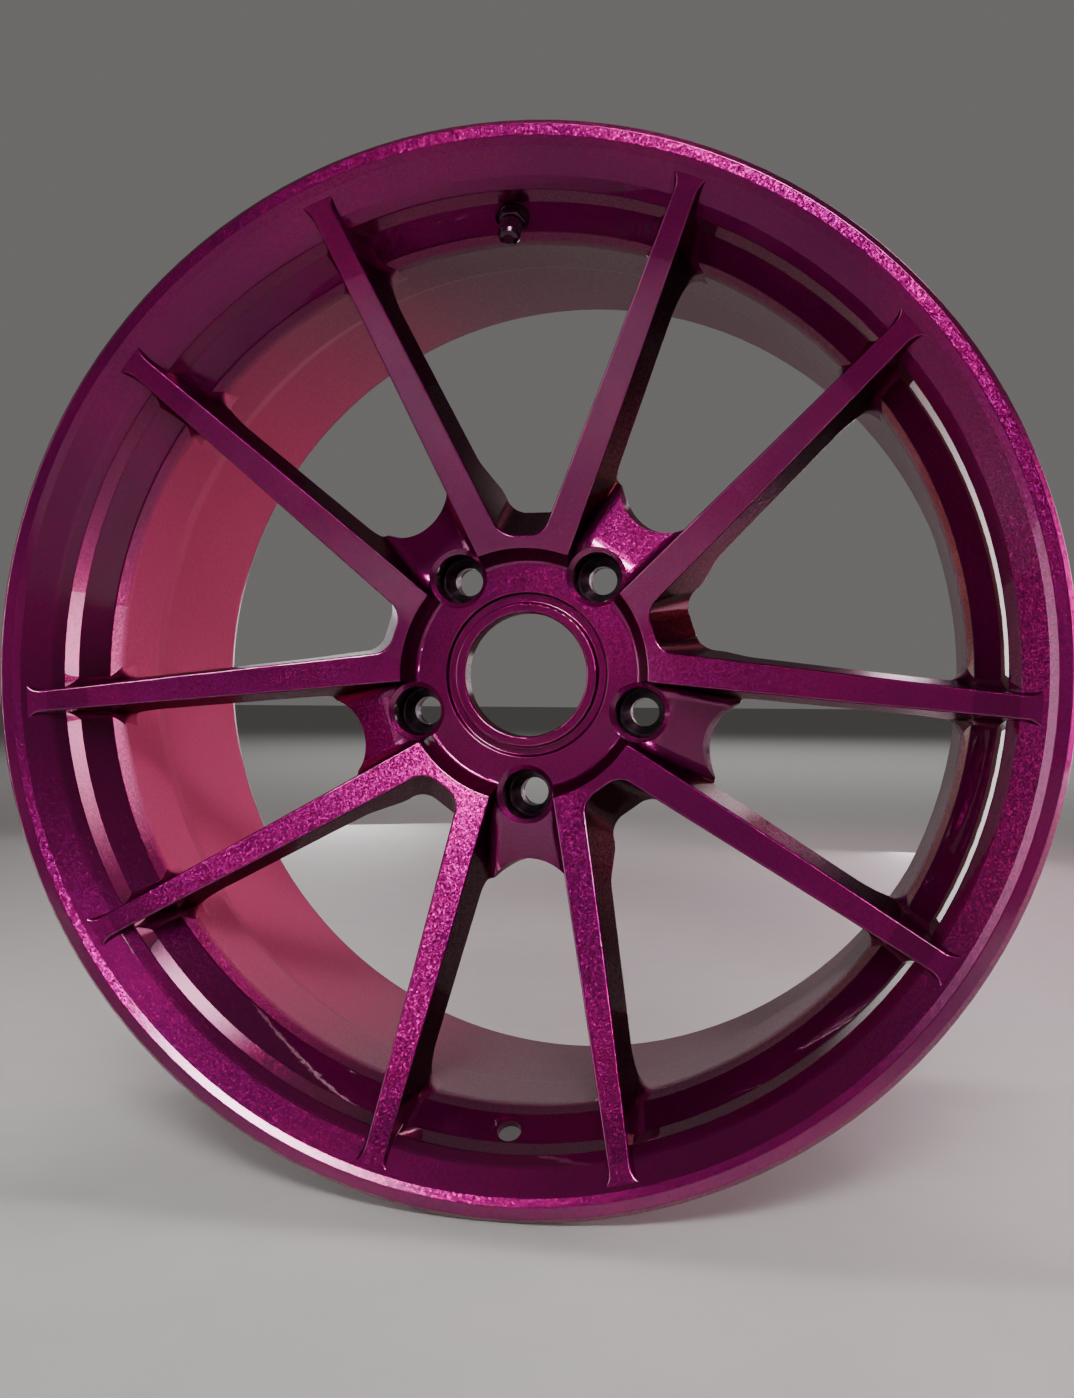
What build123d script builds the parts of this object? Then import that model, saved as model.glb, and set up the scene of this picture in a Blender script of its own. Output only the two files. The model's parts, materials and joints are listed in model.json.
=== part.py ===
from build123d import *
from math import cos, radians, sin, sqrt, tan
import os

# A forged one-piece racing wheel, 18 x 8J, 5 x 120, offset 10.
# The wheel turns about Y. Its outboard (street) side faces -Y and +Z is up.
# The origin is the rim's centre, halfway along the barrel. "Depth" is measured inboard from the rim's front face.

# --- rim ---------------------------------------------------------------------------------
BEAD_SEAT_RADIUS = 231.0
FLANGE_HEIGHT = 17.3
RIM_RADIUS = BEAD_SEAT_RADIUS + FLANGE_HEIGHT
RIM_WIDTH = 203.2
FLANGE_THICKNESS = 12.0
OVERALL_WIDTH = RIM_WIDTH + 2 * FLANGE_THICKNESS
WALL = 5.4
WELL_OUTER_RADIUS = BEAD_SEAT_RADIUS - FLANGE_HEIGHT
WELL_INNER_RADIUS = WELL_OUTER_RADIUS - WALL
REAR_INNER_RADIUS = BEAD_SEAT_RADIUS - WALL

# --- hub ---------------------------------------------------------------------------------
OFFSET = 10.0
MOUNT_DEPTH = OVERALL_WIDTH / 2 - OFFSET
MOUNT_PAD_RADIUS = 76.0
HUB_DISC_RADIUS = 96.0
RELIEF_DEPTH = MOUNT_DEPTH - 2.6
PAD_DEPTH = 70.0
PLATE_DEPTH = 59.6
PLATE_RADIUS = 63.2
MOAT_RADIUS = 56.8
RING_DEPTH = 68.2
RING_RADIUS = 36.4
GROOVE_RADIUS = 40.6
GROOVE_DEPTH = 73.0
CAP_BORE_RADIUS = 31.0
CAP_BORE_END = 80.0
CAP_RELIEF_RADIUS = 34.0

# --- hub-centric ring and its wire clip --------------------------------------------------
HUB_BORE_RADIUS = 36.3
RING_SEAT_RADIUS = 41.0
RING_SEAT_DEPTH = 91.0
RING_LENGTH = 9.6
CLIP_WIRE_RADIUS = 0.8
CLIP_DEPTH = RING_SEAT_DEPTH + RING_LENGTH + CLIP_WIRE_RADIUS + 0.1
CLIP_RADIUS = 41.1
CLIP_GAP_DEG = 14.0

# --- wheel bolts -------------------------------------------------------------------------
BOLT_COUNT = 5
BOLT_CIRCLE_RADIUS = 60.0
BOLT_HOLE_RADIUS = 7.25
SOCKET_RADIUS = 12.5
SOCKET_MOUTH_RADIUS = 15.0
SEAT_DEPTH = 88.0
INSERT_RADIUS = 11.0
INSERT_END = 100.6
INSERT_FLANGE = 2.2
SEAT_HALF_ANGLE = 30.0

# Lightening pockets in the mounting face, between the bolts.
POCKET_INNER = 53.0
POCKET_OUTER = 71.0
POCKET_HALF_ANGLE = 16.5
POCKET_DEPTH = 15.0
POCKET_CORNER = 5.0

# --- spokes ------------------------------------------------------------------------------
# Ten straight spokes in five pairs. A pair of spokes flanks each wheel bolt and leaves a
# U-shaped window outboard of it; neighbouring pairs meet in a V at the hub.
STEP = 360 / BOLT_COUNT
SPOKE_TIP_RADIUS = 238.5
SPOKE_TIP_DEPTH = 3.2
SPOKE_BEND_RADIUS = 150.0
SPOKE_BEND_DEPTH = 33.2
FLANK_DRAFT = 0.103
WINDOW_SECTIONS = [(0.0, 237.9, 5.0), (50.0, 209.4, 8.0), (112.0, 209.4, 14.0)]
U_HALF_ANGLE = 10.76
U_LINE_OFFSET = 10.3
U_ARCH_CENTRE = 117.0
V_HALF_ANGLE = 23.33
V_LINE_OFFSET = 11.4
V_END = 43.9
V_END_SLOPE = 0.42
V_CORNER = 9.2
V_CORNER_SLOPE = 0.03
CHANNEL_TOP = -3.0
CHANNEL_START = 42.0
CHANNEL_END = 130.0
CHANNEL_END_DEPTH = 98.5
CHANNEL_BEND = 73.0
CHANNEL_BEND_ROUND = 16.0
CHANNEL_CORNER = 6.0
EDGE_ROUND = 0.9
REAR_ROUND = 3.0
SPOKE_REAR = [(112.0, 78.0), (WELL_INNER_RADIUS + 0.7, 43.8)]
REAR_SLOPE = (SPOKE_REAR[1][1] - SPOKE_REAR[0][1]) / (SPOKE_REAR[1][0] - SPOKE_REAR[0][0])

# --- valve -------------------------------------------------------------------------------
VALVE_RADIUS = 217.7
VALVE_DEPTH = 36.6
VALVE_TILT = 35.7
VALVE_HOLE_RADIUS = 5.75
VALVE_WEB = 4.3
SPOT_FACE_RADIUS = 8.3
INNER_SPOT_FACE_RADIUS = 10.5
STEM_RADIUS = 4.0
STEM_TOP = 15.0
PIN_RADIUS = 0.6
NUT_ACROSS_FLATS = 12.0
SPRING_WIRE = 0.18
SPRING_RADIUS = 0.875
SPRING_START = 2.2
SPRING_LENGTH = 8.2
SPRING_TURNS = 9


def y_at(depth):
    """Y of a plane that lies this far inboard of the rim's front face."""
    return depth - OVERALL_WIDTH / 2


def profile(points):
    """Turn (radius, depth) pairs into points of the XY plane, for a revolve about Y."""
    return [(radius, y_at(depth)) for radius, depth in points]


def polar(radius, angle):
    """Point at this radius, this many degrees from straight up, clockwise from outboard."""
    return (radius * sin(radians(angle)), radius * cos(radians(angle)))


def mirrored(point):
    return (-point[0], point[1])


def facing(depth):
    """A plane square to the wheel's axis, facing outboard, with its local Y upward."""
    return Plane.XZ.offset(-y_at(depth))


def save(piece, label):
    piece.part.label = label
    export_step(piece.part, f"parts/{label}.step")


os.makedirs("parts", exist_ok=True)

# =========================================================================================
# The forging: rim barrel, spokes and hub in one piece
# =========================================================================================

# The barrel's section. Each row is radius, depth and corner radius, starting at the front
# face, going down the visible inside, along the back, and back over the tyre side.
REAR = OVERALL_WIDTH
REAR_SEAT = REAR - FLANGE_THICKNESS
BARREL = [
    (245.2, 0.0, 0.6),
    (240.0, 0.3, 1.2),
    (236.6, 2.5, 1.5),
    (227.0, 12.4, 0.8),
    (222.6, 18.3, 1.5),
    (220.7, 28.5, 0.9),
    (211.2, 42.0, 3.0),
    (WELL_INNER_RADIUS, 52.5, 3.0),
    (WELL_INNER_RADIUS, 88.0, 12.0),
    (REAR_INNER_RADIUS - 2.0, 126.0, 14.0),
    (REAR_INNER_RADIUS, REAR - 3.0, 2.0),
    (REAR_INNER_RADIUS + 4.0, REAR, 1.0),
    (RIM_RADIUS - 3.0, REAR, 2.2),
    (RIM_RADIUS, REAR - 4.0, 2.2),
    (RIM_RADIUS, REAR_SEAT + 2.0, 1.0),
    (RIM_RADIUS - 4.0, REAR_SEAT, 2.0),
    (BEAD_SEAT_RADIUS, REAR_SEAT, 6.5),
    (BEAD_SEAT_RADIUS - 1.3, REAR_SEAT - 15.0, 2.0),
    (BEAD_SEAT_RADIUS + 0.3, REAR_SEAT - 19.0, 2.5),
    (BEAD_SEAT_RADIUS - 2.0, REAR_SEAT - 24.0, 4.0),
    (BEAD_SEAT_RADIUS - 2.2, 124.0, 14.0),
    (WELL_OUTER_RADIUS, 86.0, 12.0),
    (WELL_OUTER_RADIUS, 54.0, 6.0),
    (BEAD_SEAT_RADIUS - 1.6, 33.0, 2.5),
    (BEAD_SEAT_RADIUS + 0.3, 29.5, 2.5),
    (BEAD_SEAT_RADIUS - 1.3, 26.0, 2.0),
    (BEAD_SEAT_RADIUS, FLANGE_THICKNESS, 6.5),
    (RIM_RADIUS - 4.0, FLANGE_THICKNESS, 2.0),
    (RIM_RADIUS, FLANGE_THICKNESS - 2.0, 1.0),
    (RIM_RADIUS, 3.4, 2.6),
]

# The spoke disc's section, before its windows are cut. It runs from the hub bore along the
# front, into the barrel's wall, and back along the rear face of the spokes.
DISC = [
    (CAP_BORE_RADIUS, CAP_BORE_END, 0.5),
    (CAP_BORE_RADIUS, RING_DEPTH, 1.0),
    (RING_RADIUS - 0.3, RING_DEPTH, 1.0),
    (RING_RADIUS, GROOVE_DEPTH, 0.7),
    (GROOVE_RADIUS, GROOVE_DEPTH, 0.7),
    (GROOVE_RADIUS + 0.6, PAD_DEPTH, 0.7),
    (MOAT_RADIUS, PAD_DEPTH + 0.4, 2.4),
    (PLATE_RADIUS - 0.8, PLATE_DEPTH, 1.1),
    (SPOKE_BEND_RADIUS, SPOKE_BEND_DEPTH, 900.0),
    (SPOKE_TIP_RADIUS, SPOKE_TIP_DEPTH, 0.0),
    (236.0, 8.0, 0.0),
    (228.6, 14.0, 0.0),
    (227.6, 31.0, 0.0),
    (WELL_INNER_RADIUS + 3.2, 53.0, 0.0),
    (WELL_INNER_RADIUS + 3.2, 74.0, 0.0),
    (WELL_INNER_RADIUS + 0.7, 74.0, 0.0),
    (*SPOKE_REAR[1], 18.0),
    (*SPOKE_REAR[0], 10.0),
    (100.0, 98.0, 5.0),
    (HUB_DISC_RADIUS, RELIEF_DEPTH, 1.0),
    (MOUNT_PAD_RADIUS + 1.0, RELIEF_DEPTH, 1.0),
    (MOUNT_PAD_RADIUS, MOUNT_DEPTH, 0.6),
    (RING_SEAT_RADIUS + 1.0, MOUNT_DEPTH, 0.0),
    (RING_SEAT_RADIUS, MOUNT_DEPTH - 1.0, 0.0),
    (RING_SEAT_RADIUS, RING_SEAT_DEPTH, 0.3),
    (CAP_RELIEF_RADIUS, RING_SEAT_DEPTH, 0.5),
    (CAP_RELIEF_RADIUS, CAP_BORE_END, 0.8),
]


def outline(rows):
    """Closed wire of a section given as (radius, depth, corner radius) rows."""
    points = profile([(radius, depth) for radius, depth, corner in rows])
    return FilletPolyline(*points, radius=[corner for radius, depth, corner in rows], close=True)


with BuildPart() as barrel:
    with BuildSketch(Plane.XY):
        with BuildLine():
            outline(BARREL)
        make_face()
    revolve(axis=Axis.Y)


with BuildPart() as disc:
    with BuildSketch(Plane.XY):
        with BuildLine():
            outline(DISC)
        make_face()
    revolve(axis=Axis.Y)


# A window's side is a straight line. It makes half_angle with the window's own axis and
# passes the wheel's centre at "offset". The flanks are drafted, so the offset and the reach
# of the window change with depth, while the angle stays.
def on_side(half_angle, offset, reach):
    """Point of a window's side at this distance from the wheel's centre."""
    along = sqrt(reach**2 - offset**2)
    lean = radians(half_angle)
    return (offset * cos(lean) + along * sin(lean), along * cos(lean) - offset * sin(lean))


def side_at(half_angle, offset, height):
    """Point of a window's side at this height above the wheel's centre."""
    lean = radians(half_angle)
    return (height * tan(lean) + offset / cos(lean), height)


def u_offset(depth):
    return U_LINE_OFFSET - FLANK_DRAFT * depth


def v_offset(depth):
    return -V_LINE_OFFSET - FLANK_DRAFT * depth


# U window: its hub end is a half round that is tangent to both sides.
with BuildPart() as u_window:
    lean = radians(U_HALF_ANGLE)
    for depth, reach, rim_corner in WINDOW_SECTIONS:
        arch_radius = u_offset(depth) + U_ARCH_CENTRE * sin(lean)
        foot = (arch_radius * cos(lean), U_ARCH_CENTRE - arch_radius * sin(lean))
        tip = on_side(U_HALF_ANGLE, u_offset(depth), reach)
        with BuildSketch(facing(depth)):
            with BuildLine():
                Line(foot, tip)
                ThreePointArc(tip, (0, reach), mirrored(tip))
                Line(mirrored(tip), mirrored(foot))
                ThreePointArc(mirrored(foot), (0, U_ARCH_CENTRE - arch_radius), foot)
            make_face()
            fillet(vertices().sort_by(Axis.Y)[-2:], radius=rim_corner)
    loft(ruled=True)

# V window: its hub end is a short wall with large round corners.
with BuildPart() as v_window:
    for depth, reach, rim_corner in WINDOW_SECTIONS:
        foot = side_at(V_HALF_ANGLE, v_offset(depth), V_END + V_END_SLOPE * depth)
        tip = on_side(V_HALF_ANGLE, v_offset(depth), reach)
        with BuildSketch(facing(depth)):
            with BuildLine():
                Polyline(mirrored(tip), mirrored(foot), foot, tip)
                ThreePointArc(tip, (0, reach), mirrored(tip))
            make_face()
            fillet(vertices().sort_by(Axis.Y)[:2], radius=V_CORNER + V_CORNER_SLOPE * depth)
            fillet(vertices().sort_by(Axis.Y)[-2:], radius=rim_corner)
    loft(ruled=True)


def borders_channel_floor(edge):
    """True for an edge between the channel's floor and one of its flanks."""
    middle = edge.center()
    if middle.Y < y_at(PAD_DEPTH - 2.0) or abs(middle.X) < CHANNEL_CORNER:
        return False
    return CHANNEL_START + 1.0 < middle.Z < CHANNEL_END - 1.0


# Channel: the U window's flanks run on inward to the wheel bolt, above a floor that starts
# level with the hub's pad and then slopes rearward.
with BuildPart() as channel:
    for depth in (CHANNEL_TOP, WINDOW_SECTIONS[-1][0]):
        low = side_at(U_HALF_ANGLE, u_offset(depth), CHANNEL_START)
        high = side_at(U_HALF_ANGLE, u_offset(depth), CHANNEL_END)
        with BuildSketch(facing(depth)):
            with BuildLine():
                Polyline(low, high, mirrored(high), mirrored(low), close=True)
            make_face()
    loft(ruled=True)
    with BuildSketch(Plane.YZ):
        with BuildLine():
            side_view = [
                (CHANNEL_TOP, CHANNEL_START - 1.0),
                (PAD_DEPTH, CHANNEL_START - 1.0),
                (PAD_DEPTH + 0.3, CHANNEL_BEND),
                (CHANNEL_END_DEPTH, CHANNEL_END + 1.0),
                (CHANNEL_TOP, CHANNEL_END + 1.0),
            ]
            corners = [(y_at(depth), height) for depth, height in side_view]
            FilletPolyline(*corners, radius=[0, 0, CHANNEL_BEND_ROUND, 0, 0], close=True)
        make_face()
    extrude(amount=SOCKET_RADIUS * 5, both=True, mode=Mode.INTERSECT)
    fillet(edges().filter_by(borders_channel_floor), radius=CHANNEL_CORNER)


def front_depth(radius):
    """Depth of the spokes' front face at this radius."""
    if radius < SPOKE_BEND_RADIUS:
        share = (radius - PLATE_RADIUS) / (SPOKE_BEND_RADIUS - PLATE_RADIUS)
        return PLATE_DEPTH + share * (SPOKE_BEND_DEPTH - PLATE_DEPTH)
    share = (radius - SPOKE_BEND_RADIUS) / (SPOKE_TIP_RADIUS - SPOKE_BEND_RADIUS)
    return SPOKE_BEND_DEPTH + share * (SPOKE_TIP_DEPTH - SPOKE_BEND_DEPTH)


def borders_front_face(edge):
    """True for an edge between a spoke's front face and one of its flanks."""
    points = [edge.position_at(share) for share in (0.2, 0.5, 0.8)]
    radii = [sqrt(point.X**2 + point.Z**2) for point in points]
    if not all(PLATE_RADIUS + 2 < radius < 246 for radius in radii):
        return False
    return all(abs(point.Y - y_at(front_depth(radius))) < 0.5 for point, radius in zip(points, radii))


def borders_rear_face(edge):
    """True for an edge between a spoke's flank and the rear of the spoke disc."""
    if edge.geom_type == GeomType.CIRCLE:
        return False
    points = [edge.position_at(share) for share in (0.2, 0.5, 0.8)]
    for point in points:
        radius = sqrt(point.X**2 + point.Z**2)
        depth = point.Y + OVERALL_WIDTH / 2
        line = SPOKE_REAR[0][1] + (radius - SPOKE_REAR[0][0]) * REAR_SLOPE
        if not 118 < radius < 186 or abs(depth - line) > 1.0:
            return False
    return True


# Cutters for one wheel bolt: the socket clearance, the insert's seat and the stud hole.
with BuildPart() as bolt_cut:
    with BuildSketch(Plane.XY):
        with BuildLine():
            rows = [
                (0.0, 30.0),
                (SOCKET_MOUTH_RADIUS, 30.0),
                (SOCKET_MOUTH_RADIUS, PAD_DEPTH + 1.0),
                (SOCKET_RADIUS, PAD_DEPTH + 2.9),
                (SOCKET_RADIUS, SEAT_DEPTH),
                (INSERT_RADIUS, SEAT_DEPTH),
                (INSERT_RADIUS, INSERT_END),
                (BOLT_HOLE_RADIUS, INSERT_END),
                (BOLT_HOLE_RADIUS, MOUNT_DEPTH + 5.0),
                (0.0, MOUNT_DEPTH + 5.0),
            ]
            Polyline(*profile(rows), close=True)
        make_face()
    revolve(axis=Axis.Y)

# A lightening pocket in the mounting face, between two wheel bolts.
with BuildPart() as rear_pocket:
    with BuildSketch(facing(MOUNT_DEPTH - POCKET_DEPTH)):
        with BuildLine():
            inner_right = polar(POCKET_INNER, POCKET_HALF_ANGLE)
            outer_right = polar(POCKET_OUTER, POCKET_HALF_ANGLE)
            ThreePointArc(mirrored(inner_right), (0, POCKET_INNER), inner_right)
            Line(inner_right, outer_right)
            ThreePointArc(outer_right, (0, POCKET_OUTER), mirrored(outer_right))
            Line(mirrored(outer_right), mirrored(inner_right))
        make_face()
        fillet(vertices(), radius=POCKET_CORNER)
    extrude(amount=-POCKET_DEPTH - 5.0)
    floor_edges = faces().sort_by(Axis.Y)[0].edges()
    fillet(floor_edges, radius=3.0)


def valve_frame(up):
    """Plane at a valve hole's outboard seat: Z along the stem, away from the tyre."""
    tilt = radians(VALVE_TILT)
    seat = (0, y_at(VALVE_DEPTH), up * VALVE_RADIUS)
    return Plane(origin=seat, x_dir=(1, 0, 0), z_dir=(0, -sin(tilt), -up * cos(tilt)))


# Two valve holes, opposite each other. The upper one carries the valve.
with BuildPart() as valve_cut:
    for up in (1, -1):
        seat = valve_frame(up)
        with BuildSketch(seat):
            Circle(SPOT_FACE_RADIUS)
        extrude(amount=12.0)
        with BuildSketch(seat.offset(-VALVE_WEB - 1.0)):
            Circle(VALVE_HOLE_RADIUS)
        extrude(amount=VALVE_WEB + 2.0)
        with BuildSketch(seat.offset(-VALVE_WEB)):
            Circle(INNER_SPOT_FACE_RADIUS)
        extrude(amount=-14.0)

with BuildPart() as forging:
    add(disc.part)
    for turn in range(BOLT_COUNT):
        add(u_window.part, rotation=(0, (turn + 0.5) * STEP, 0), mode=Mode.SUBTRACT)
        add(v_window.part, rotation=(0, turn * STEP, 0), mode=Mode.SUBTRACT)
        add(channel.part, rotation=(0, (turn + 0.5) * STEP, 0), mode=Mode.SUBTRACT)
    fillet(edges().filter_by(borders_rear_face), radius=REAR_ROUND)
    fillet(edges().filter_by(borders_front_face), radius=EDGE_ROUND)
    add(barrel.part)
    for turn in range(BOLT_COUNT):
        place = polar(BOLT_CIRCLE_RADIUS, (turn + 0.5) * STEP)
        with Locations((place[0], 0, place[1])):
            add(bolt_cut.part, mode=Mode.SUBTRACT)
        add(rear_pocket.part, rotation=(0, turn * STEP, 0), mode=Mode.SUBTRACT)
    add(valve_cut.part, mode=Mode.SUBTRACT)
    with BuildSketch(Plane.XY):
        with Locations((CLIP_RADIUS, y_at(CLIP_DEPTH))):
            Circle(CLIP_WIRE_RADIUS + 0.05)
    revolve(axis=Axis.Y, mode=Mode.SUBTRACT)
save(forging, "wheel_forging")

# =========================================================================================
# Steel seats for the wheel bolts, pressed into the forging
# =========================================================================================
CONE_END = SEAT_DEPTH - 1.0 + (INSERT_RADIUS - BOLT_HOLE_RADIUS) / tan(radians(SEAT_HALF_ANGLE))
for turn in range(BOLT_COUNT):
    place = polar(BOLT_CIRCLE_RADIUS, (turn + 0.5) * STEP)
    with BuildPart() as insert:
        with BuildSketch(Plane.XY):
            with BuildLine():
                rows = [
                    (INSERT_RADIUS, SEAT_DEPTH - INSERT_FLANGE),
                    (SOCKET_RADIUS - 0.3, SEAT_DEPTH - INSERT_FLANGE),
                    (SOCKET_RADIUS - 0.1, SEAT_DEPTH - INSERT_FLANGE + 0.3),
                    (SOCKET_RADIUS - 0.1, SEAT_DEPTH),
                    (INSERT_RADIUS, SEAT_DEPTH),
                    (INSERT_RADIUS, INSERT_END),
                    (BOLT_HOLE_RADIUS, INSERT_END),
                    (BOLT_HOLE_RADIUS, CONE_END),
                    (INSERT_RADIUS, SEAT_DEPTH - 1.0),
                ]
                Polyline(*profile(rows), close=True)
            make_face()
        revolve(axis=Axis.Y)
    insert.part.position = (place[0], 0, place[1])
    save(insert, f"bolt_seat_insert_{turn + 1}")

# =========================================================================================
# Hub-centric ring and its wire clip
# =========================================================================================
with BuildPart() as hub_ring:
    with BuildSketch(Plane.XY):
        with BuildLine():
            rows = [
                (HUB_BORE_RADIUS, RING_SEAT_DEPTH, 0.3),
                (RING_SEAT_RADIUS, RING_SEAT_DEPTH, 0.4),
                (RING_SEAT_RADIUS, RING_SEAT_DEPTH + RING_LENGTH, 0.3),
                (HUB_BORE_RADIUS + 1.2, RING_SEAT_DEPTH + RING_LENGTH, 0.0),
                (HUB_BORE_RADIUS, RING_SEAT_DEPTH + RING_LENGTH - 1.2, 0.0),
            ]
            outline(rows)
        make_face()
    revolve(axis=Axis.Y)
save(hub_ring, "hub_centric_ring")

with BuildPart() as clip:
    with BuildSketch(Plane.XY):
        with Locations((CLIP_RADIUS, y_at(CLIP_DEPTH))):
            Circle(CLIP_WIRE_RADIUS)
    revolve(axis=Axis.Y, revolution_arc=360 - CLIP_GAP_DEG)
save(clip, "hub_ring_wire_clip")

# =========================================================================================
# Tyre valve, clamped in the upper valve hole
# =========================================================================================
# Each section is given as (radius, height) along the stem. Height 0 is the outboard seat
# and the heights grow outward, away from the tyre.
seat = valve_frame(1)
stem_axis = Axis(seat.origin, seat.z_dir)
stem_section = Plane(origin=seat.origin, x_dir=(1, 0, 0), z_dir=-seat.y_dir)


def turned(rows):
    """A piece turned about the stem's axis from a (radius, height) section."""
    with BuildPart() as piece:
        with BuildSketch(stem_section):
            with BuildLine():
                Polyline(*rows, close=True)
            make_face()
        revolve(axis=stem_axis)
    return piece


HEAD_TOP = -VALVE_WEB - 2.2
HEAD_BOTTOM = HEAD_TOP - 2.6
THREAD_RADIUS = STEM_RADIUS - 0.15
CORE_TOP = STEM_TOP - 1.0
CORE_SHOULDER = 9.5
stem = turned(
    [
        (1.9, HEAD_BOTTOM),
        (7.4, HEAD_BOTTOM),
        (8.0, HEAD_BOTTOM + 0.6),
        (8.0, HEAD_TOP),
        (STEM_RADIUS, HEAD_TOP),
        (STEM_RADIUS, 7.4),
        (THREAD_RADIUS - 0.35, 7.8),
        (THREAD_RADIUS - 0.35, 8.6),
        (THREAD_RADIUS, 9.0),
        (THREAD_RADIUS, STEM_TOP - 0.5),
        (THREAD_RADIUS - 0.5, STEM_TOP),
        (2.9, STEM_TOP),
        (2.6, STEM_TOP - 0.3),
        (2.6, CORE_SHOULDER),
        (1.9, CORE_SHOULDER - 1.4),
    ]
)
save(stem, "valve_stem")

# Rubber grommet: a flange under the rim and a sleeve that fills the hole.
inner_seal = turned(
    [
        (STEM_RADIUS, HEAD_TOP),
        (7.6, HEAD_TOP),
        (7.6, -VALVE_WEB),
        (VALVE_HOLE_RADIUS, -VALVE_WEB),
        (VALVE_HOLE_RADIUS, -0.4),
        (STEM_RADIUS, -0.4),
    ]
)
save(inner_seal, "valve_inner_seal")

outer_seal = turned(
    [
        (STEM_RADIUS, 0.0),
        (6.6, 0.0),
        (6.9, 0.3),
        (6.9, 1.0),
        (6.6, 1.3),
        (STEM_RADIUS, 1.3),
    ]
)
save(outer_seal, "valve_outer_seal")

washer = turned(
    [
        (STEM_RADIUS + 0.1, 1.3),
        (7.5, 1.3),
        (7.5, 2.1),
        (7.2, 2.5),
        (STEM_RADIUS + 0.1, 2.5),
    ]
)
save(washer, "valve_washer")

with BuildPart() as nut:
    with BuildSketch(seat.offset(2.5)):
        RegularPolygon(radius=NUT_ACROSS_FLATS / 2, side_count=6, major_radius=False)
        Circle(STEM_RADIUS + 0.02, mode=Mode.SUBTRACT)
    extrude(amount=4.6)
    with BuildSketch(stem_section):
        with BuildLine():
            rows = [(6.2, 7.2), (5.4, 7.2), (7.4, 6.2), (7.4, 7.2)]
            Polyline(*rows, close=True)
        make_face()
    revolve(axis=stem_axis, mode=Mode.SUBTRACT)
save(nut, "valve_nut")

# Valve core: a hollow body screwed into the stem, with a sprung pin through it.
core_body = turned(
    [
        (0.8, CORE_TOP),
        (2.5, CORE_TOP),
        (2.5, CORE_SHOULDER + 0.3),
        (1.5, CORE_SHOULDER - 1.0),
        (1.5, 1.0),
        (0.8, 1.0),
        (0.8, 2.0),
        (1.15, 2.0),
        (1.15, 12.5),
        (0.8, 12.5),
    ]
)
save(core_body, "valve_core_body")

core_seal = turned([(1.5, 5.2), (1.9, 5.2), (1.9, 7.4), (1.5, 7.4)])
save(core_seal, "valve_core_seal")

pin = turned(
    [
        (0.0, -1.6),
        (1.3, -1.6),
        (1.3, -1.1),
        (1.55, -1.1),
        (1.55, -0.5),
        (PIN_RADIUS, -0.5),
        (PIN_RADIUS, 10.6),
        (0.95, 10.6),
        (0.95, 11.4),
        (PIN_RADIUS, 11.4),
        (PIN_RADIUS, CORE_TOP + 0.7),
        (PIN_RADIUS - 0.2, CORE_TOP + 0.9),
        (0.0, CORE_TOP + 0.9),
    ]
)
save(pin, "valve_core_pin")

pin_seal = turned([(PIN_RADIUS, -0.5), (1.55, -0.5), (1.55, 0.95), (PIN_RADIUS, 0.95)])
save(pin_seal, "valve_pin_seal")

with BuildPart() as spring:
    with BuildLine() as coil:
        Helix(
            pitch=SPRING_LENGTH / SPRING_TURNS,
            height=SPRING_LENGTH,
            radius=SPRING_RADIUS,
            center=seat.offset(SPRING_START).origin,
            direction=seat.z_dir,
        )
    with BuildSketch(Plane(origin=coil.line @ 0, z_dir=coil.line % 0)):
        Circle(SPRING_WIRE)
    sweep(is_frenet=True)
save(spring, "valve_core_spring")

# Screwed cap with a rubber disc against the stem's end.
CAP_BOTTOM = 8.0
CAP_TOP = 18.6
cap_blank = turned(
    [
        (THREAD_RADIUS + 0.1, CAP_BOTTOM),
        (5.0, CAP_BOTTOM),
        (5.3, CAP_BOTTOM + 0.4),
        (5.3, CAP_TOP - 2.4),
        (4.4, CAP_TOP - 0.7),
        (2.6, CAP_TOP),
        (0.0, CAP_TOP),
        (0.0, CAP_TOP - 1.6),
        (THREAD_RADIUS + 0.1, CAP_TOP - 1.6),
    ]
)
with BuildPart() as cap:
    add(cap_blank.part)
    with BuildSketch(seat.offset(CAP_BOTTOM + 1.2)):
        with PolarLocations(5.45, 12):
            Circle(0.45)
    extrude(amount=CAP_TOP - CAP_BOTTOM - 4.4, mode=Mode.SUBTRACT)
save(cap, "valve_cap")

SEAL_BOTTOM = STEM_TOP + 0.05
cap_seal = turned([(1.4, SEAL_BOTTOM), (3.8, SEAL_BOTTOM), (3.8, CAP_TOP - 1.6), (1.4, CAP_TOP - 1.6)])
save(cap_seal, "valve_cap_seal")
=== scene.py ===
import json
from math import radians

import bpy
from mathutils import Matrix, Vector


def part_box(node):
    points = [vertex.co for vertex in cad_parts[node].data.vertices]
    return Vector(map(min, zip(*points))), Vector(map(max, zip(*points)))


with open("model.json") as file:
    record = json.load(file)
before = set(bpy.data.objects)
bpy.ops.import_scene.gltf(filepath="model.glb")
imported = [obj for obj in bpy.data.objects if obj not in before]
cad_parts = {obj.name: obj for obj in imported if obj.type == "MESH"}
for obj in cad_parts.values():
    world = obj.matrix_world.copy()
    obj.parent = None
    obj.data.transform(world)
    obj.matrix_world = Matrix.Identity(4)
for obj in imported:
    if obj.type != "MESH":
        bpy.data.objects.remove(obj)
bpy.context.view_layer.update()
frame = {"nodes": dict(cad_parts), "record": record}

# Looks of the forged racing wheel rim. The wheel turns about Y, its street side faces -Y and
# +Z is up. Everything is in metres, in the frame of the CAD model.

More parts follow.
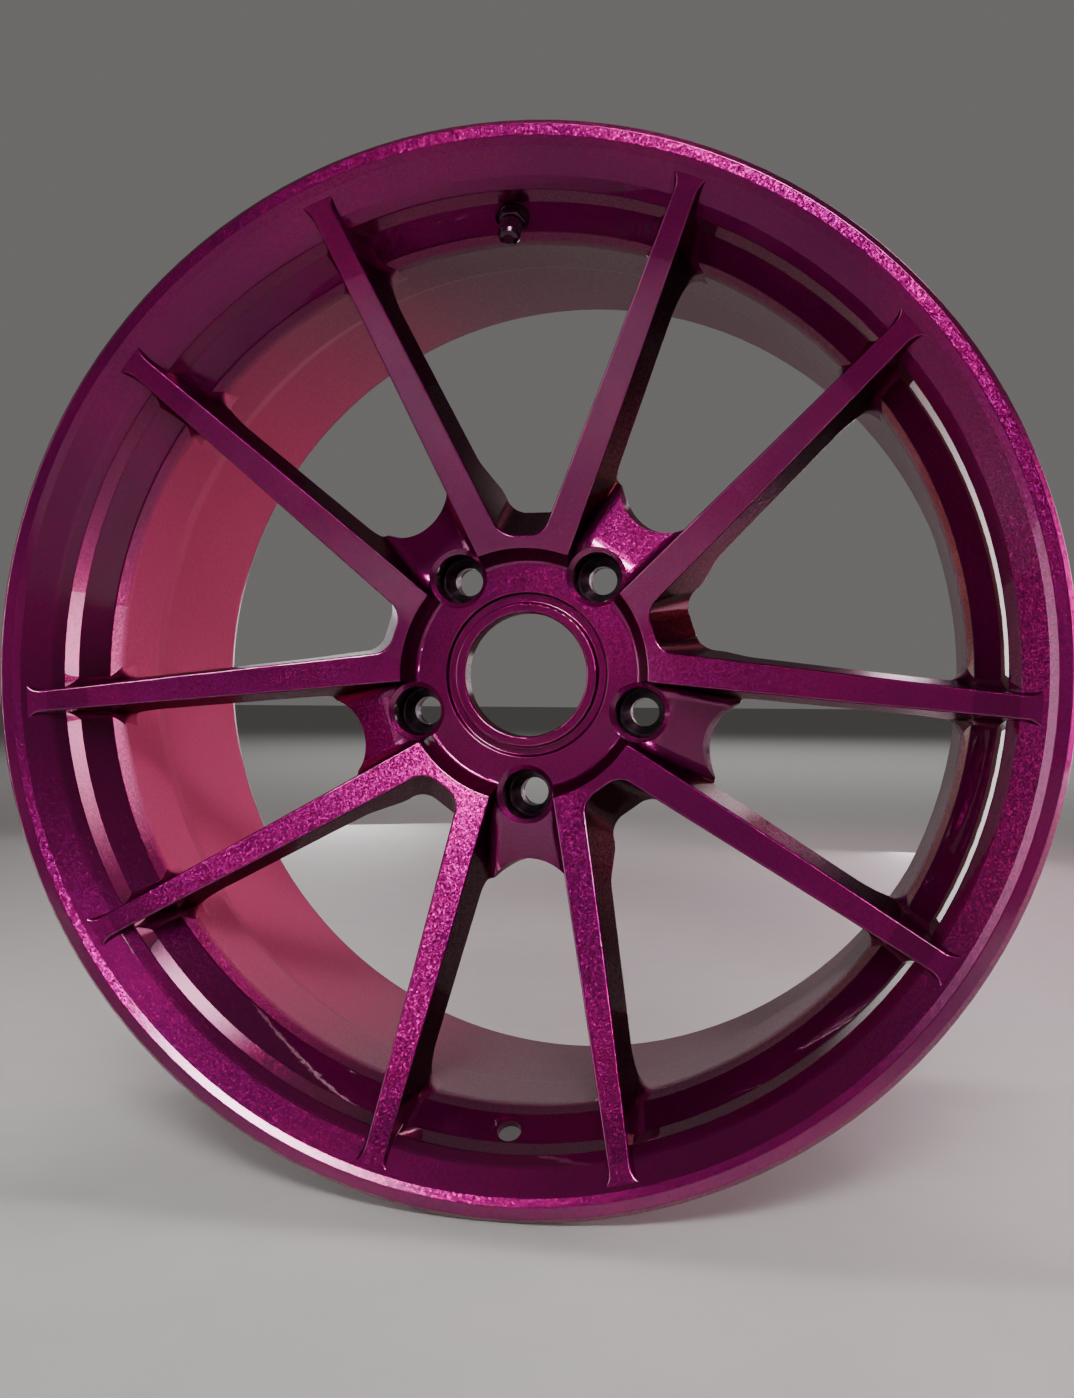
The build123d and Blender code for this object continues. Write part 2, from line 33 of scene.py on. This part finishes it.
WHEEL_LOW, WHEEL_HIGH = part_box("wheel_forging")
FRONT = WHEEL_LOW.y
REAR = WHEEL_HIGH.y
FLOOR_HEIGHT = WHEEL_LOW.z


# ------------------------------------------------------------------------------- camera
CAMERA_PLACE = Vector((0.1362, -0.6921, -0.0086))
CAMERA_YAW = radians(11.376)
CAMERA_PITCH = radians(-0.304)
CAMERA_ROLL = radians(-0.279)
CAMERA_LENS = 34.11
SENSOR = 36.0


def add_camera():
    """The camera stands right of the wheel's axis, level with the hub, 0.58 m from the lip."""
    data = bpy.data.cameras.new("camera")
    data.lens = CAMERA_LENS
    data.sensor_width = SENSOR
    data.clip_start = 0.01
    camera = bpy.data.objects.new("camera", data)
    yaw = Matrix.Rotation(CAMERA_YAW, 4, "Z")
    pitch = Matrix.Rotation(radians(90) + CAMERA_PITCH, 4, "X")
    roll = Matrix.Rotation(-CAMERA_ROLL, 4, "Z")
    camera.matrix_world = Matrix.Translation(CAMERA_PLACE) @ yaw @ pitch @ roll
    bpy.context.scene.collection.objects.link(camera)
    bpy.context.scene.camera = camera


# ------------------------------------------------------------------- shader node helpers
class Shader:
    """A material under construction, with short calls that add and join its nodes."""

    def __init__(self, name):
        self.material = bpy.data.materials.new(name)
        self.material.use_nodes = True
        self.tree = self.material.node_tree
        self.tree.nodes.clear()
        self.output = self.tree.nodes.new("ShaderNodeOutputMaterial")

    def join(self, value, socket):
        """Link an output, or set a constant."""
        if isinstance(value, bpy.types.NodeSocket):
            self.tree.links.new(value, socket)
        else:
            socket.default_value = value

    def place(self):
        """Position on the object, in metres."""
        return self.tree.nodes.new("ShaderNodeTexCoord").outputs["Object"]

    def normal(self):
        """Direction the surface faces, in the object's frame."""
        return self.tree.nodes.new("ShaderNodeTexCoord").outputs["Normal"]

    def split(self, vector):
        node = self.tree.nodes.new("ShaderNodeSeparateXYZ")
        self.join(vector, node.inputs[0])
        return node.outputs[0], node.outputs[1], node.outputs[2]

    def math(self, operation, a, b=0.0, clamp=False):
        node = self.tree.nodes.new("ShaderNodeMath")
        node.operation = operation
        node.use_clamp = clamp
        self.join(a, node.inputs[0])
        self.join(b, node.inputs[1])
        return node.outputs[0]

    def ramp(self, value, low, high, out_low=0.0, out_high=1.0):
        """Smooth step of a value from low to high."""
        node = self.tree.nodes.new("ShaderNodeMapRange")
        node.interpolation_type = "SMOOTHSTEP"
        self.join(value, node.inputs["Value"])
        self.join(low, node.inputs["From Min"])
        self.join(high, node.inputs["From Max"])
        self.join(out_low, node.inputs["To Min"])
        self.join(out_high, node.inputs["To Max"])
        return node.outputs["Result"]

    def mix(self, share, a, b, blend="MIX"):
        """Mix two colours."""
        node = self.tree.nodes.new("ShaderNodeMix")
        node.data_type = "RGBA"
        node.blend_type = blend
        self.join(share, node.inputs["Factor"])
        self.join(a, node.inputs[6])
        self.join(b, node.inputs[7])
        return node.outputs[2]

    def mix_value(self, share, a, b):
        node = self.tree.nodes.new("ShaderNodeMix")
        node.data_type = "FLOAT"
        self.join(share, node.inputs["Factor"])
        self.join(a, node.inputs[2])
        self.join(b, node.inputs[3])
        return node.outputs[0]

    def noise(self, scale, detail=3.0, roughness=0.5, vector=None):
        node = self.tree.nodes.new("ShaderNodeTexNoise")
        self.join(self.place() if vector is None else vector, node.inputs["Vector"])
        node.inputs["Scale"].default_value = scale
        node.inputs["Detail"].default_value = detail
        node.inputs["Roughness"].default_value = roughness
        return node.outputs["Fac"]

    def cells(self, scale):
        """Voronoi cells: a random colour for each."""
        node = self.tree.nodes.new("ShaderNodeTexVoronoi")
        self.join(self.place(), node.inputs["Vector"])
        node.inputs["Scale"].default_value = scale
        return node.outputs["Color"]

    def bump(self, height, depth, strength=1.0):
        """Bump from a height, where depth is the height of 1, in metres."""
        node = self.tree.nodes.new("ShaderNodeBump")
        node.inputs["Strength"].default_value = strength
        node.inputs["Distance"].default_value = depth
        self.join(height, node.inputs["Height"])
        return node.outputs["Normal"]

    def tilt(self, colour, amount):
        """Tip the surface's direction at random, a little, by a random colour."""
        centred = self.vector("SUBTRACT", colour, (0.5, 0.5, 0.5))
        pushed = self.vector("SCALE", centred, scale=amount)
        base = self.tree.nodes.new("ShaderNodeNewGeometry").outputs["Normal"]
        return self.vector("NORMALIZE", self.vector("ADD", base, pushed))

    def vector(self, operation, a, b=None, scale=None):
        node = self.tree.nodes.new("ShaderNodeVectorMath")
        node.operation = operation
        self.join(a, node.inputs[0])
        if b is not None:
            self.join(b, node.inputs[1])
        if scale is not None:
            self.join(scale, node.inputs["Scale"])
        return node.outputs[0]

    def principled(self, **values):
        """The surface. Names are the shader's sockets, with _ for a space."""
        node = self.tree.nodes.new("ShaderNodeBsdfPrincipled")
        for name, value in values.items():
            self.join(value, node.inputs[name.replace("_", " ")])
        self.tree.links.new(node.outputs[0], self.output.inputs["Surface"])
        return self.material


def dress(node, material):
    """Give a CAD node its material."""
    slots = frame["nodes"][node].material_slots
    if not slots:
        frame["nodes"][node].data.materials.append(material)
    for slot in slots:
        slot.material = material


# ---------------------------------------------------------------------------- materials
CANDY_LIT = (0.30, 0.0035, 0.128, 1)
CANDY_DEEP = (0.20, 0.002, 0.105, 1)
# Painted shade: a dark candy for the spokes' flanks, the ledge in the lip and the rim's top.
CANDY_PAINTED_SHADE = (0.045, 0.0008, 0.024, 1)
CANDY_EDGE = (0.30, 0.02, 0.16, 1)
OVERSPRAY = (0.155, 0.095, 0.108, 1)
# A pinker tone in the dry zone, strongest at the left of the inside.
PINK_TOWARDS_LEFT = (0.44, 0.032, 0.13, 1)
DUST = (0.4, 0.3, 0.33, 1)
FLAKE_SCALE = 1500
PEEL_DEPTH = 0.000005

# Where one finish, or one band of painted shade, gives way to the next: the start and end of
# each change, along the axle, as a radius or as a height.
GLOSS_TO_DRY = (FRONT + 0.047, FRONT + 0.053)
DRY_TO_REAR_GLOSS = (REAR - 0.006, REAR - 0.004)
HUB_TO_BARREL = (0.198, 0.201)
SPOKE_TO_RIM = (0.207, 0.211)
LEDGE_INNER = (0.2070, 0.2080)
LEDGE_OUTER = (0.2255, 0.2265)
RIM_INNER = (0.199, 0.200)
HUB_TO_TOP = (0.0, 0.15)
LEFT_TO_MIDDLE = (-0.21, -0.02)
TYRE_TO_INSIDE = (-0.02, 0.02)


def rim_paint():
    """Candy magenta over metal flake, under a deep clear coat. Inside the barrel and on the
    tyre side the paint is only a dry, dusty overspray."""
    shader = Shader("rim_candy_paint")
    x, y, z = shader.split(shader.place())
    across, inboard, upward = shader.split(shader.normal())
    square_x = shader.math("MULTIPLY", x, x)
    square_z = shader.math("MULTIPLY", z, z)
    radius = shader.math("SQRT", shader.math("ADD", square_x, square_z))
    drift = shader.noise(9, detail=2)
    sparkle = shader.cells(FLAKE_SCALE)
    peel = shader.noise(330, detail=1, roughness=0.4)

    # The dry zone, and how pink it is: most at the left of the inside, least on the tyre side.
    inside = shader.ramp(y, *GLOSS_TO_DRY)
    barrel = shader.math("MULTIPLY", inside, shader.ramp(radius, *HUB_TO_BARREL))
    dry = shader.math("MULTIPLY", barrel, shader.ramp(y, *DRY_TO_REAR_GLOSS, 1.0, 0.0))
    outward_x = shader.math("MULTIPLY", x, across)
    outward_z = shader.math("MULTIPLY", z, upward)
    outward = shader.math("ADD", outward_x, outward_z)
    left = shader.ramp(x, *LEFT_TO_MIDDLE, 1.0, 0.0)
    pinker = shader.math("MULTIPLY", left, shader.ramp(outward, *TYRE_TO_INSIDE, 1.0, 0.2))
    pink = shader.mix(pinker, OVERSPRAY, PINK_TOWARDS_LEFT)
    specks = shader.ramp(shader.noise(700, detail=2), 0.35, 0.7, 0.0, 0.1)
    dust = shader.mix(specks, pink, DUST)

    # Painted shade on glossy zones: the spokes' flanks, the ledge in the lip and the rim's top
    # are darker, and on the flanks and the top the clear coat is thinner.
    sideways = shader.ramp(shader.math("ABSOLUTE", inboard), 0.35, 0.78, 1.0, 0.0)
    flank = shader.math("MULTIPLY", sideways, shader.ramp(radius, *SPOKE_TO_RIM, 1.0, 0.0))
    flank_shade = shader.math("MULTIPLY", flank, 0.9)
    within_lip = shader.ramp(radius, *LEDGE_OUTER, 1.0, 0.0)
    ledge_shade = shader.math("MULTIPLY", within_lip, shader.ramp(radius, *LEDGE_INNER, 0.0, 0.3))
    rim = shader.ramp(radius, *RIM_INNER)
    # Darker towards the top of the rim: painted shade.
    top_shade = shader.math("MULTIPLY", rim, shader.ramp(z, *HUB_TO_TOP, 0.0, 0.6))
    shadowed = shader.math("MAXIMUM", flank_shade, ledge_shade)
    # How far the candy is darkened as painted shade.
    deep = shader.math("MAXIMUM", shadowed, shader.math("MULTIPLY", top_shade, 0.45))
    tone = shader.mix(shader.ramp(drift, 0.3, 0.7), CANDY_DEEP, CANDY_LIT)
    shaded = shader.mix(deep, tone, CANDY_PAINTED_SHADE)
    candy = shader.mix(0.2, shaded, sparkle, "OVERLAY")
    # The clear coat is left off the dry zone, and thinned as painted shade on the flanks and the
    # top.
    dry_and_shade_bare = shader.math("MAXIMUM", dry, shader.math("MAXIMUM", flank_shade, top_shade))

    return shader.principled(
        Base_Color=shader.mix(dry, candy, dust),
        Metallic=shader.mix_value(dry, 0.92, 0.1),
        Roughness=shader.mix_value(dry, 0.3, 0.62),
        Specular_IOR_Level=0.3,
        Specular_Tint=CANDY_EDGE,
        Normal=shader.tilt(sparkle, 0.17),
        Coat_Weight=shader.math("SUBTRACT", 1.0, dry_and_shade_bare),
        Coat_Roughness=0.02,
        Coat_IOR=1.55,
        Coat_Normal=shader.bump(peel, PEEL_DEPTH),
    )


def seat_steel():
    """Machined steel with a haze of overspray, its colour painted near-black as shade inside the
    bolt sockets.
    """
    shader = Shader("bolt_seat_steel_painted_shade")
    stretched = shader.vector("MULTIPLY", shader.place(), (1.0, 60.0, 1.0))
    rings = shader.noise(60, detail=4, vector=stretched)
    haze = shader.ramp(shader.noise(260, detail=3), 0.4, 0.65)
    return shader.principled(
        # Both colours are near-black, painted shade for the sockets' insides; the violet one is
        # the overspray haze.
        Base_Color=shader.mix(haze, (0.05, 0.04, 0.05, 1), (0.022, 0.004, 0.016, 1)),
        Metallic=0.9,
        Roughness=shader.mix_value(haze, 0.28, 0.45),
        Normal=shader.bump(rings, 0.00004),
    )


def turned_metal(name, colour, roughness):
    """Lathe-turned metal with fine tool marks."""
    shader = Shader(name)
    stretched = shader.vector("MULTIPLY", shader.place(), (4.0, 90.0, 4.0))
    marks = shader.noise(40, detail=4, vector=stretched)
    return shader.principled(
        Base_Color=colour,
        Metallic=1.0,
        Roughness=shader.ramp(marks, 0.2, 0.8, roughness - 0.06, roughness + 0.1),
        Normal=shader.bump(marks, 0.00002),
    )


def dark_anodised():
    shader = Shader("valve_dark_anodised")
    grain = shader.noise(1500, detail=2)
    return shader.principled(
        Base_Color=shader.mix(grain, (0.03, 0.004, 0.018, 1), (0.06, 0.008, 0.035, 1)),
        Metallic=0.7,
        Roughness=shader.ramp(grain, 0.2, 0.8, 0.12, 0.26),
        Coat_Weight=0.6,
        Coat_Roughness=0.05,
    )


def black_rubber():
    shader = Shader("seal_rubber")
    grain = shader.noise(2600, detail=3)
    return shader.principled(
        Base_Color=shader.mix(grain, (0.012, 0.012, 0.013, 1), (0.035, 0.034, 0.035, 1)),
        Roughness=shader.ramp(grain, 0.2, 0.8, 0.55, 0.75),
        Normal=shader.bump(grain, 0.00003),
    )


def dress_all():
    finishes = {
        "rim_paint": rim_paint(),
        "seat_steel": seat_steel(),
        "ring_aluminium": turned_metal("hub_ring_aluminium", (0.72, 0.73, 0.75, 1), 0.26),
        "spring_steel": turned_metal("clip_spring_steel", (0.52, 0.52, 0.54, 1), 0.24),
        "valve_metal": dark_anodised(),
        "core_brass": turned_metal("valve_core_brass", (0.72, 0.52, 0.25, 1), 0.24),
        "black_rubber": black_rubber(),
    }
    for part in frame["record"]["subparts"]:
        dress(part["node"], finishes[part["material_slot"]])


# --------------------------------------------------------------------- floor and lights
FLOOR_SIZE = 40.0
FLOOR_GREYS = ((0.47, 0.46, 0.44, 1), (0.52, 0.51, 0.49, 1))
WORLD_COLOUR = (1.0, 0.98, 0.95, 1)

# Strength of the world ahead of the wheel and behind it, and where one fades into the other.
FRONT_LEVEL = 0.05
REAR_LEVEL = 0.15
FADE_START = -0.3
FADE_END = 0.6

# A softbox fades over this share of its width from each edge, up to this much in its middle.
SOFT_EDGE = 0.45
SOFT_MIDDLE = 1.6


def add_floor():
    """A plain pale floor under the wheel."""
    half = FLOOR_SIZE / 2
    mesh = bpy.data.meshes.new("floor")
    corners = [(-half, -half, 0), (half, -half, 0), (half, half, 0), (-half, half, 0)]
    mesh.from_pydata(corners, [], [(0, 1, 2, 3)])
    floor = bpy.data.objects.new("floor", mesh)
    floor.location.z = FLOOR_HEIGHT
    bpy.context.scene.collection.objects.link(floor)
    shader = Shader("floor_pale")
    grain = shader.noise(30, detail=3)
    mesh.materials.append(
        shader.principled(
            Base_Color=shader.mix(grain, *FLOOR_GREYS),
            Roughness=0.7,
        )
    )


def add_world():
    """A dim studio: dark in front of the wheel, grey walls behind it."""
    world = bpy.data.worlds.new("studio")
    world.use_nodes = True
    tree = world.node_tree
    split = tree.nodes.new("ShaderNodeSeparateXYZ")
    tree.links.new(tree.nodes.new("ShaderNodeTexCoord").outputs["Generated"], split.inputs[0])
    fade = tree.nodes.new("ShaderNodeMapRange")
    fade.interpolation_type = "SMOOTHSTEP"
    fade.inputs["From Min"].default_value = FADE_START
    fade.inputs["From Max"].default_value = FADE_END
    fade.inputs["To Min"].default_value = FRONT_LEVEL
    fade.inputs["To Max"].default_value = REAR_LEVEL
    tree.links.new(split.outputs["Y"], fade.inputs["Value"])
    background = tree.nodes["Background"]
    background.inputs["Color"].default_value = WORLD_COLOUR
    tree.links.new(fade.outputs["Result"], background.inputs["Strength"])
    bpy.context.scene.world = world


def add_softbox(name, place, target, size, power, colour=(1, 1, 1), spread=180):
    """A rectangular light that is brightest in its middle and fades towards its edges."""
    data = bpy.data.lights.new(name, "AREA")
    data.shape = "RECTANGLE"
    data.size, data.size_y = size
    data.energy = power
    data.color = colour
    data.spread = radians(spread)
    data.use_nodes = True
    tree = data.node_tree
    split = tree.nodes.new("ShaderNodeSeparateXYZ")
    tree.links.new(tree.nodes.new("ShaderNodeNewGeometry").outputs["Parametric"], split.inputs[0])
    shares = []
    for axis in ("X", "Y"):
        edge = tree.nodes.new("ShaderNodeMath")
        edge.operation = "PINGPONG"
        edge.inputs[1].default_value = 0.5
        tree.links.new(split.outputs[axis], edge.inputs[0])
        fade = tree.nodes.new("ShaderNodeMapRange")
        fade.interpolation_type = "SMOOTHSTEP"
        fade.inputs["From Max"].default_value = SOFT_EDGE
        fade.inputs["To Max"].default_value = SOFT_MIDDLE
        tree.links.new(edge.outputs[0], fade.inputs["Value"])
        shares.append(fade.outputs["Result"])
    product = tree.nodes.new("ShaderNodeMath")
    product.operation = "MULTIPLY"
    tree.links.new(shares[0], product.inputs[0])
    tree.links.new(shares[1], product.inputs[1])
    tree.links.new(product.outputs[0], tree.nodes["Emission"].inputs["Strength"])
    light = bpy.data.objects.new(name, data)
    light.location = place
    light.rotation_euler = (Vector(target) - Vector(place)).to_track_quat("-Z", "Y").to_euler()
    light.visible_camera = False
    bpy.context.scene.collection.objects.link(light)


HUB = (0.0, 0.0, 0.0)
ROSE = (1.0, 0.45, 0.68)
PINK = (1.0, 0.5, 0.75)
BLUSH = (1.0, 0.85, 0.92)
FAINT_BLUSH = (1.0, 0.8, 0.9)


def add_lights():
    """A box in front and above, a broad one at the left, panels behind and beside the wheel, and
    three that only light the floor, which the paint mirrors."""
    add_softbox("front_high", (0.25, -1.5, 0.95), HUB, (1.2, 0.5), 5.2, spread=60)
    add_softbox("window_high", (1.15, -0.75, 1.15), HUB, (0.08, 0.6), 2.2)
    add_softbox("wall_left", (-1.7, -1.1, 0.1), HUB, (1.6, 1.8), 11.0)
    add_softbox("panel_left_rear", (-0.7, 1.55, 0.0), HUB, (0.6, 0.9), 3.6)
    add_softbox("panel_right_rear", (1.15, 0.95, 0.05), HUB, (0.6, 1.5), 15.0, ROSE)
    add_softbox("panel_rear", (0.3, 1.35, 0.1), HUB, (0.12, 1.2), 2.0, BLUSH)
    add_softbox("panel_high_rear", (0.65, 1.25, 1.1), HUB, (0.7, 0.35), 6.0, PINK)
    add_softbox("panel_right", (1.4, 0.05, 0.1), HUB, (0.2, 1.5), 15.0)
    add_softbox("panel_left", (-1.4, 0.05, 0.1), HUB, (0.2, 1.5), 10.0)
    add_softbox("panel_over", (0.0, -0.05, 1.5), HUB, (1.5, 0.08), 1.5, spread=60)
    add_floor_light("floor_light_rear", 3.9, 3.2, (8.0, 6.2), 38.0, spread=50)
    add_floor_light("floor_light_front", -4.6, 3.2, (8.0, 6.0), 16.0, spread=50)
    add_floor_light("floor_light_near", -1.15, 1.2, (2.6, 0.7), 5.5, FAINT_BLUSH, spread=30)


def add_floor_light(name, y, z, size, power, colour=(1, 1, 1), spread=180):
    """A softbox on the wheel's middle plane that points straight down."""
    add_softbox(name, (0.0, y, z), (0.0, y, 0.0), size, power, colour, spread)


add_camera()
dress_all()
add_floor()
add_world()
add_lights()
